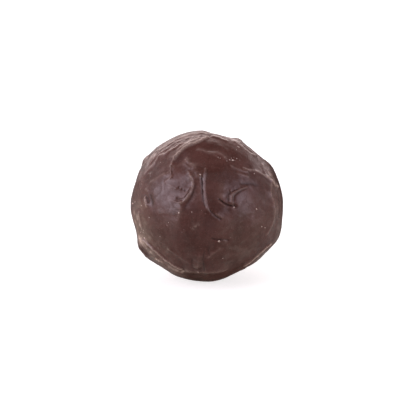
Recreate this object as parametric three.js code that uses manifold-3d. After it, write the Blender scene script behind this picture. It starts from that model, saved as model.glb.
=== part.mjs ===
// Hot chocolate sphere: a dark chocolate ball to stir into a mug of hot milk, one uncut solid.
// The coating has set in creases, lips and flats, as on a ball that was wrapped by hand.
// Millimetres, +Z up. The creased face looks along -Y, and the ball rests on a small flat spot at Z = 0.

import * as THREE from "three";
import { mergeVertices } from "three/addons/utils/BufferGeometryUtils.js";
import Module from "manifold-3d";

const { clamp, degToRad, lerp, smoothstep } = THREE.MathUtils;

// Driving dimensions
const ballDiameter = 40;
const restSpotDiameter = 10.5;
const faceTilt = degToRad(15); // the creased face looks up from level by this much
const flatBlend = 0.3; // how softly a flat meets the round of the ball
const flatReach = degToRad(60); // how far round the ball a flat is looked for
const waveHeight = 0.05; // slow unevenness of the hand-rolled ball
const waveLength = 9;
const waveCount = 9;
const crestRound = 0.08; // radius of the crest along the sharpest crease
const crestWiden = 0.12; // and how much it grows with the crease's reach
const creaseFade = 0.6; // length over which the sharpest crease dies out at either end
const creaseFadeWiden = 0.8; // and how much it grows with the crease's reach
const creaseStep = 0.3; // spacing of the points that follow a crease
const crestPull = 0.75; // share by which corners of the facets are drawn onto a near crest
const crestPullReach = 0.6;
const facetRings = 24; // facets along each edge of the icosahedron that the ball starts from
const faceGather = 0.4; // how far the facets are drawn together on the creased face
const chocolateColour = 0x4d312b;
const chocolateRoughness = 0.42;

const ballRadius = ballDiameter / 2;
const restDepth = Math.sqrt(ballRadius ** 2 - (restSpotDiameter / 2) ** 2);

// The creased face has its own axes: right, up and out of the face.
const faceRight = new THREE.Vector3(1, 0, 0);
const faceUp = new THREE.Vector3(0, Math.sin(faceTilt), Math.cos(faceTilt));
const faceOut = new THREE.Vector3(0, -Math.cos(faceTilt), Math.sin(faceTilt));

// Flats, each a plane that lies this deep under the round of the ball. Clock runs anticlockwise from
// the right, seen from the front, and polar is measured from the middle of the face, so 90 is on the
// outline. Both are in degrees.
const flats = [
  { clock: 88, polar: 44, depth: 0.7 },
  { clock: 76, polar: 91, depth: 0.98 },
  { clock: 50, polar: 91, depth: 0.76 },
  { clock: 163, polar: 90, depth: 0.44 },
  { clock: 197, polar: 91, depth: 0.62 },
  { clock: 237, polar: 90, depth: 0.2 },
  { clock: 297, polar: 91, depth: 0.74 },
  { clock: 284, polar: 89, depth: 0.2 },
  { clock: 262, polar: 32, depth: 0.35 },
  { clock: 33, polar: 63, depth: 0.28 },
  { clock: 60, polar: 128, depth: 0.5 },
  { clock: 190, polar: 132, depth: 0.6 },
  { clock: 300, polar: 140, depth: 0.5 },
  { clock: 110, polar: 150, depth: 0.45 },
];

// Swellings that stand out from the round and its flats.
const swellings = [
  { clock: 341, polar: 90, rise: 0.86, spread: 4.6 },
  { clock: 12, polar: 92, rise: 0.48, spread: 6.5 },
  { clock: 27, polar: 93, rise: 0.25, spread: 2.5 },
  { clock: 33, polar: 92, rise: 0.44, spread: 2.2 },
  { clock: 65, polar: 90, rise: 0.52, spread: 1.4 },
  { clock: 90, polar: 90, rise: 0.22, spread: 1.6 },
  { clock: 104, polar: 92, rise: 0.1, spread: 5 },
  { clock: 126, polar: 92, rise: 0.12, spread: 5 },
  { clock: 143, polar: 91, rise: 0.64, spread: 1.6 },
  { clock: 178, polar: 90, rise: -0.18, spread: 2.6 },
  { clock: 215, polar: 90, rise: 1.06, spread: 3.5 },
  { clock: 246, polar: 88, rise: 0.28, spread: 2.4 },
  { clock: 317, polar: 90, rise: 0.15, spread: 2.5 },
  { clock: 153, polar: 37, rise: 0.34, spread: 4.6 },
  { clock: 10, polar: 24, rise: 0.36, spread: 4.2 },
  { clock: 106, polar: 27, rise: 0.5, spread: 2.6 },
];

// Creases of the coating. Points are [right, up] from the middle of the face, seen from the front, and
// one outside the outline lies that much further round the back. Rise is the crest's height at the
// first and at the last point, below nought for a groove. Left and right are how far the coating takes
// to fall away on either hand, going along the points.
const creases = {
  crownLip: {
    rise: [0.6, 0.56], left: 1.4, right: 0.45,
    points: [[-8.6, 12.1], [-7.9, 13.3], [-6.8, 14.6], [-5.5, 15.7], [-1.6, 17.4], [1, 19]],
  },
  crownLipLow: {
    rise: [0.36, 0.36], left: 0.5, right: 0.5,
    points: [[-9.2, 9.9], [-8.5, 12.3], [-7.7, 13.4]],
  },
  browDrop: {
    rise: [0.26, 0.2], left: 0.5, right: 0.5,
    points: [[-9, 11], [-9.2, 9.5], [-9, 8.1], [-9.3, 7.4], [-11.1, 6]],
  },
  rimLine: {
    rise: [0.24, 0.32], left: 0.6, right: 0.5,
    points: [[-16.7, 7.6], [-13.8, 10.9], [-12.2, 13.4], [-10.7, 13.8], [-7.6, 15.7], [-4.9, 16.7]],
  },
  rimShell: {
    rise: [0.06, 0.14], left: 1, right: 0.6,
    points: [[-16.2, 11.2], [-13.4, 14.3], [-9, 16.9], [-4.2, 18.9], [0.1, 19.4]],
  },
  foreheadArc: {
    rise: [0.24, 0.3], left: 0.8, right: 0.5,
    points: [[-2.9, 14.9], [-1.2, 14.8], [1.4, 14], [2.8, 14.1], [4.9, 13.1], [5.6, 12.1]],
  },
  foreheadBranch: {
    rise: [0.16, 0.16], left: 0.5, right: 0.45,
    points: [[0.2, 14.4], [1.7, 13.8], [3.7, 12.7]],
  },
  crownEdge: { rise: [0.25, 0.25], left: 0.6, right: 0.5, points: [[1.2, 18.7], [4.3, 17.8], [6.3, 17.1]] },
  shoulderCrest: {
    rise: [0.26, 0.26], left: 0.5, right: 0.9,
    points: [[6.9, 17.6], [10.5, 15], [13.8, 13]],
  },
  shoulderArc: {
    rise: [0.2, 0.24], left: 0.5, right: 0.6,
    points: [[14.6, 12.2], [16, 10.4], [17.1, 9], [17.8, 6.9]],
  },
  shoulderDip: {
    rise: [-0.4, -0.44], left: 1.1, right: 0.6,
    points: [[15.1, 12.7], [16.8, 10.7], [18, 9], [18.6, 7.2]],
  },
  sideRidge: {
    rise: [0.24, 0.36], left: 0.55, right: 0.5,
    points: [[10.4, 9.9], [13, 9.4], [15.2, 8.3], [17.5, 6.8], [18.5, 5.8], [19.5, 5.3]],
  },
  sideRidgeEnd: {
    rise: [0.24, 0.4], left: 1.4, right: 0.5,
    points: [[15.4, 8.2], [17.5, 6.8], [19.5, 5.3]],
  },
  browRight: { rise: [0.18, 0.18], left: 0.5, right: 0.4, points: [[6.1, 11], [7.5, 10.1], [9.8, 9.3]] },
  browRightLow: { rise: [0.2, 0.2], left: 0.7, right: 0.5, points: [[7.6, 8.9], [10.8, 7.9], [12.1, 7.2]] },
  hookSlot: { rise: [-0.28, -0.16], left: 0.6, right: 1.6, points: [[8.4, 6.1], [11.7, 5.9], [14.1, 5.2]] },
  hook: {
    rise: [0.16, 0.4], left: 0.5, right: 0.5,
    points: [[10, 4.9], [8.6, 4], [7.7, 3.6], [7.1, 2.9], [6.8, 1.8], [7, 0.4]],
  },
  slit: { rise: [-0.44, -0.4], left: 0.65, right: 0.65, points: [[3.5, 1.7], [4.5, 0.9], [6.3, 0.1]] },
  sideBand: {
    rise: [0.3, 0.36], left: 0.5, right: 0.8,
    points: [[17.4, 7.2], [17.3, 4.3], [18.1, 1.2], [18.4, -1], [18, -3.8], [15.9, -8]],
  },
  sideBandDip: { rise: [-0.38, -0.3], left: 0.6, right: 0.4, points: [[18.4, 5.8], [19.3, 0.2], [19, -3]] },
  nose: {
    rise: [0.26, 0.4], left: 0.45, right: 0.5,
    points: [[0.2, 10.8], [-0.4, 7.4], [-0.3, 5.3], [-0.1, 3], [0.6, -0.8], [1.4, -1.7]],
  },
  noseTail: { rise: [-0.34, -0.3], left: 0.65, right: 0.65, points: [[0.7, -0.7], [2, -1.9], [4.4, -3.6]] },
  swirl: {
    rise: [0.3, 0.42], left: 0.5, right: 0.6,
    points: [[-4.1, 8.3], [-3.3, 6], [-3.5, 4.5], [-5.1, 1.7], [-6.2, 0.8], [-7.6, 1.3], [-8.9, 2.3]],
  },
  swirlTop: { rise: [0.26, 0.3], left: 0.5, right: 0.9, points: [[-4.6, 9.5], [-4, 8.6], [-3.4, 6.2]] },
  cheekEdge: { rise: [0.2, 0.08], left: 2.4, right: 2, points: [[-6.1, 1.2], [-6.6, -1], [-8.6, -7.8]] },
  cheekTop: {
    rise: [0.12, 0.18], left: 0.4, right: 1.3,
    points: [[-15.2, 5.9], [-12.2, 7.8], [-11.2, 8.3], [-9.8, 7.5]],
  },
  cheekHollow: {
    rise: [-0.24, -0.2], left: 1.5, right: 1.3,
    points: [[-14.6, 4], [-14.2, 2], [-13.4, -0.8]],
  },
  patch: { rise: [0.3, 0.3], left: 0.5, right: 0.9, points: [[-6, 12.3], [-4.4, 11], [-2.7, 9.7]] },
  sideSlit: {
    rise: [0.42, 0.42], left: 0.5, right: 0.5,
    points: [[-16.4, 2.8], [-16, 1.1], [-15.5, -0.6]],
  },
  leftStreak: {
    rise: [0.36, 0.3], left: 0.9, right: 0.9,
    points: [[-17.7, -0.6], [-17.6, -3.1], [-16.9, -6.4]],
  },
  footLeft: {
    rise: [0.5, 0.46], left: 0.55, right: 0.6,
    points: [[-16.9, -8.4], [-14.7, -10.4], [-12.5, -12.3], [-9.7, -14.6], [-5.8, -16.9]],
  },
  footInner: {
    rise: [0.18, 0.18], left: 0.5, right: 0.4,
    points: [[-10.3, -10.8], [-6.8, -13.4], [-3.7, -15.3]],
  },
  footFront: {
    rise: [0.46, 0.4], left: 1.1, right: 0.55,
    points: [[-5.8, -17.3], [-1.7, -17.6], [7.2, -16.2]],
  },
  footRight: {
    rise: [0.3, 0.3], left: 0.5, right: 0.5,
    points: [[17.7, -10], [14.7, -12.4], [9.8, -16.3]],
  },
  chinSoft: { rise: [0.3, 0.3], left: 0.5, right: 1.1, points: [[-1, -13], [-1, -14.8], [-1.4, -16.6]] },
  chinLine: { rise: [0.18, 0.18], left: 0.5, right: 0.5, points: [[3.7, -9.1], [4.7, -9], [5.9, -9.5]] },
};

// Creases well inside the outline are also set on the back, turned about the way the face looks.
const backMargin = 0.8; // share of the outline
const backTurn = degToRad(130);

// Wrinkles that stray over the sides and back, laid by seeded draws.
const wrinkles = {
  count: 44,
  seed: 271,
  clear: degToRad(98), // angle from the middle of the face where they may start
  limit: degToRad(95), // and nearest to it that they may come
  stride: 2.6,
  turn: 0.7, // radians from one stride to the next
  strides: [3, 6], // fewest, and one more than the most
  rise: 0.36,
  riseShare: [0.3, 1],
  ridgeShare: 0.65, // this share of them are ridges, the others grooves
  grooveDepth: 0.7, // share of a ridge's rise
  left: [0.25, 1.05],
  right: [0.25, 0.65],
};
const drawFactor = 16807; // the draws follow the usual minimal standard generator
const drawModulus = 2 ** 31 - 1;

// The direction of a point of the face, given round the clock and by its angle from the middle.
function polarDirection(clock, polar) {
  const across = new THREE.Vector3()
    .addScaledVector(faceRight, Math.cos(clock))
    .addScaledVector(faceUp, Math.sin(clock));
  return across.multiplyScalar(Math.sin(polar)).addScaledVector(faceOut, Math.cos(polar));
}

// Slow waves over the whole ball, in directions spread evenly by the golden angle.
function waves(direction) {
  const goldenAngle = Math.PI * (3 - Math.sqrt(5));
  const travel = new THREE.Vector3();
  let sum = 0;
  for (let wave = 0; wave < waveCount; wave += 1) {
    const height = 1 - (2 * wave + 1) / waveCount;
    travel.setFromCylindricalCoords(Math.sqrt(1 - height ** 2), wave * goldenAngle, height);
    sum += Math.sin((direction.dot(travel) * ballRadius * 2 * Math.PI) / waveLength + wave);
  }
  return waveHeight * sum;
}

function smoothMin(a, b, blend) {
  const overlap = Math.max(blend - Math.abs(a - b), 0) / blend;
  return Math.min(a, b) - (overlap ** 2 * blend) / 4;
}

// The ball's radius in one direction without its creases: the round, its flats and its swellings.
function smoothRadius(direction) {
  let radius = ballRadius + waves(direction);
  for (const { clock, polar, depth } of flats) {
    const facing = direction.dot(polarDirection(degToRad(clock), degToRad(polar)));
    if (facing > Math.cos(flatReach)) radius = smoothMin(radius, (ballRadius - depth) / facing, flatBlend);
  }
  for (const { clock, polar, rise, spread } of swellings) {
    const gap = direction.angleTo(polarDirection(degToRad(clock), degToRad(polar))) * ballRadius;
    radius += rise * Math.exp(-((gap / spread) ** 2));
  }
  return radius;
}

// The direction of a point [right, up] of a perfectly round face, seen from the front.
function roundDirection(right, up) {
  const reach = Math.hypot(right, up);
  const overEdge = Math.max(reach - ballRadius, 0);
  const polar = Math.asin(Math.min(reach / ballRadius, 1)) + overEdge / ballRadius;
  return polarDirection(Math.atan2(up, right), polar);
}

// The direction of a point [right, up] that stands this far above the uneven face, seen from the front.
function faceDirection([right, up], rise) {
  const settlingRounds = 3;
  let share = 1;
  for (let round = 0; round < settlingRounds; round += 1) {
    share = ballRadius / (smoothRadius(roundDirection(right * share, up * share)) + rise);
  }
  return roundDirection(right * share, up * share);
}

function creaseCorners({ points, rise }) {
  return points.map((point, index) => faceDirection(point, lerp(...rise, index / (points.length - 1))));
}

// A crease as evenly spaced directions along a smooth curve through its corners.
function layCrease({ rise, left, right }, corners) {
  const curve = new THREE.CatmullRomCurve3(corners, false, "catmullrom");
  const length = curve.getLength() * ballRadius;
  const steps = Math.ceil(length / creaseStep);
  const path = curve.getSpacedPoints(steps).map((point) => point.normalize());
  const reach = (left + right) / 2;
  return {
    rise, left, right, path, length,
    step: length / steps,
    top: crestRound + crestWiden * reach,
    fade: Math.min(creaseFade + creaseFadeWiden * reach, length / 2),
  };
}

// The same even draws between 0 and 1 on every run.
function seededDraw(seed) {
  let state = seed;
  return () => {
    state = (state * drawFactor) % drawModulus;
    return state / drawModulus;
  };
}

// Wrinkles that wander off in short strides from scattered places. Those that reach the face are left out.
function strayWrinkles() {
  const draw = seededDraw(wrinkles.seed);
  const drawAngle = () => draw() * 2 * Math.PI;
  const drawTurn = () => (draw() - 0.5) * wrinkles.turn;
  const clearOut = Math.cos(wrinkles.clear);
  const laid = [];
  for (let count = 0; count < wrinkles.count; count += 1) {
    const out = clearOut - draw() * (1 + clearOut);
    let place = polarDirection(drawAngle(), Math.acos(out));
    const heading = place.clone().cross(polarDirection(drawAngle(), Math.PI / 2)).normalize();
    const bend = 2 * drawTurn();
    const strides = Math.floor(lerp(...wrinkles.strides, draw()));
    const corners = [place];
    for (let stride = 0; stride < strides; stride += 1) {
      heading.applyAxisAngle(place, bend + drawTurn());
      place = place.clone().addScaledVector(heading, wrinkles.stride / ballRadius).normalize();
      heading.addScaledVector(place, -heading.dot(place)).normalize();
      corners.push(place);
    }
    const height = wrinkles.rise * lerp(...wrinkles.riseShare, draw());
    const rise = draw() < wrinkles.ridgeShare ? height : -height * wrinkles.grooveDepth;
    const left = lerp(...wrinkles.left, draw());
    const right = lerp(...wrinkles.right, draw());
    const nearest = Math.min(...corners.map((corner) => corner.angleTo(faceOut)));
    if (nearest > wrinkles.limit) laid.push(layCrease({ rise: [rise, rise], left, right }, corners));
  }
  return laid;
}

function setOnBack(direction) {
  return direction.applyAxisAngle(faceOut, backTurn).applyAxisAngle(faceUp, Math.PI);
}

const wellInside = ({ points }) => points.every((point) => Math.hypot(...point) < backMargin * ballRadius);
const faceCreases = Object.values(creases);
const laidCreases = [
  ...faceCreases.map((crease) => layCrease(crease, creaseCorners(crease))),
  ...faceCreases.filter(wellInside).map((crease) => layCrease(crease, creaseCorners(crease).map(setOnBack))),
  ...strayWrinkles(),
];

// The nearest point of a crease: how far off it is, on which hand, and how far from the crease's start.
function nearestOnCrease(direction, { path, step }) {
  let nearest = 0;
  path.forEach((point, index) => {
    if (direction.dot(point) > direction.dot(path[nearest])) nearest = index;
  });
  const before = path[Math.max(nearest - 1, 0)];
  const after = path[Math.min(nearest + 1, path.length - 1)];
  const along = after.clone().sub(before).normalize();
  const offset = direction.clone().sub(path[nearest]);
  const slide = clamp(offset.dot(along) * ballRadius, -step / 2, step / 2);
  const foot = path[nearest].clone().addScaledVector(along, slide / ballRadius).normalize();
  const onLeft = foot.clone().cross(along).dot(direction) > 0;
  return { foot, gap: direction.angleTo(foot) * ballRadius, onLeft, fromStart: nearest * step + slide };
}

function creaseRise(direction, crease) {
  const { gap, onLeft, fromStart } = nearestOnCrease(direction, crease);
  const reach = onLeft ? crease.left : crease.right;
  const fall = Math.exp(-(Math.hypot(gap, crease.top) - crease.top) / reach);
  const fromEnd = Math.min(fromStart, crease.length - fromStart);
  return lerp(...crease.rise, fromStart / crease.length) * fall * smoothstep(fromEnd, 0, crease.fade);
}

// Facets are finer on the creased face and coarser on the back.
function gathered(direction) {
  const polar = direction.angleTo(faceOut);
  const drawnIn = polar - faceGather * Math.sin(polar);
  const aside = direction.clone().addScaledVector(faceOut, -direction.dot(faceOut)).normalize();
  return aside.multiplyScalar(Math.sin(drawnIn)).addScaledVector(faceOut, Math.cos(drawnIn));
}

// Facet corners near a crest move towards it, so that the facets' edges follow the creases.
function drawnToCrest(direction) {
  const found = laidCreases.map((crease) => nearestOnCrease(direction, crease));
  const { foot, gap } = found.reduce((best, next) => (next.gap < best.gap ? next : best));
  const pull = crestPull * Math.exp(-((gap / crestPullReach) ** 2));
  return direction.clone().lerp(foot, pull).normalize();
}

function radiusAt(direction) {
  return laidCreases.reduce((sum, crease) => sum + creaseRise(direction, crease), smoothRadius(direction));
}

// The whole ball about its own middle, as a closed surface with shared corners.
function ballGeometry() {
  const geometry = new THREE.IcosahedronGeometry(1, facetRings - 1);
  geometry.deleteAttribute("normal");
  geometry.deleteAttribute("uv");
  const merged = mergeVertices(geometry);
  const corners = merged.getAttribute("position");
  const corner = new THREE.Vector3();
  for (let index = 0; index < corners.count; index += 1) {
    corner.fromBufferAttribute(corners, index).normalize();
    const direction = drawnToCrest(gathered(corner));
    corners.setXYZ(index, ...direction.multiplyScalar(radiusAt(direction)));
  }
  return merged;
}

const wasm = await Module();
wasm.setup();

function solidOf(geometry) {
  const { index, attributes } = geometry;
  return new wasm.Manifold(
    new wasm.Mesh({
      numProp: 3,
      vertProperties: new Float32Array(attributes.position.array),
      triVerts: new Uint32Array(index.array),
    }),
  );
}

function geometryOf(solid) {
  const { vertProperties, triVerts } = solid.getMesh();
  const geometry = new THREE.BufferGeometry();
  geometry.setAttribute("position", new THREE.BufferAttribute(vertProperties, 3));
  geometry.setIndex(new THREE.BufferAttribute(triVerts, 1));
  return geometry;
}

// A block under the ball that takes off everything below the rest spot.
function blockBelow(depth) {
  const block = new THREE.BoxGeometry(2 * ballDiameter, 2 * ballDiameter, ballDiameter);
  block.translate(0, 0, -depth - ballDiameter / 2);
  block.deleteAttribute("normal");
  block.deleteAttribute("uv");
  return mergeVertices(block);
}

// The ball stands on its rest spot with the middle of its outline over the origin.
function standingBall() {
  const geometry = geometryOf(solidOf(ballGeometry()).subtract(solidOf(blockBelow(restDepth))));
  geometry.computeBoundingBox();
  const middle = geometry.boundingBox.getCenter(new THREE.Vector3());
  geometry.translate(-middle.x, -middle.y, -geometry.boundingBox.min.z);
  geometry.computeVertexNormals();
  return geometry;
}

const chocolate = new THREE.MeshStandardMaterial({
  color: chocolateColour,
  roughness: chocolateRoughness,
  metalness: 0,
});
const ball = new THREE.Mesh(standingBall(), chocolate);
ball.name = "chocolate_ball";

const hotChocolateSphere = new THREE.Group();
hotChocolateSphere.add(ball);

export default hotChocolateSphere;
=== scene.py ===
import math

import bmesh
import bpy
import numpy as np
from mathutils import Matrix, Vector, noise


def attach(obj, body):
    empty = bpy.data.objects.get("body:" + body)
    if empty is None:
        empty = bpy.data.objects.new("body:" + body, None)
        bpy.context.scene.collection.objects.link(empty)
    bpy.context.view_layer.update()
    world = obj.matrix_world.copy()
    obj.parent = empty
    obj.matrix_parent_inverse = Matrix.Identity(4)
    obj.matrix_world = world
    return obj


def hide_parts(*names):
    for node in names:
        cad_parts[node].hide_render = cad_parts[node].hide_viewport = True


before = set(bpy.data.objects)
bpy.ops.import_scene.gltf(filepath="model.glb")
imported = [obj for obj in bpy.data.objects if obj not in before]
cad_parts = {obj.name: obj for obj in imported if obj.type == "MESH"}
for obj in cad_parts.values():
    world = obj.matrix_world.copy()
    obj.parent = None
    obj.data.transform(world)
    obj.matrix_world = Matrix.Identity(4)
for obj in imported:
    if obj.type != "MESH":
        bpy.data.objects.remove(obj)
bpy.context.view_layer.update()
mm = 0.001
print("frame loaded")


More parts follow.
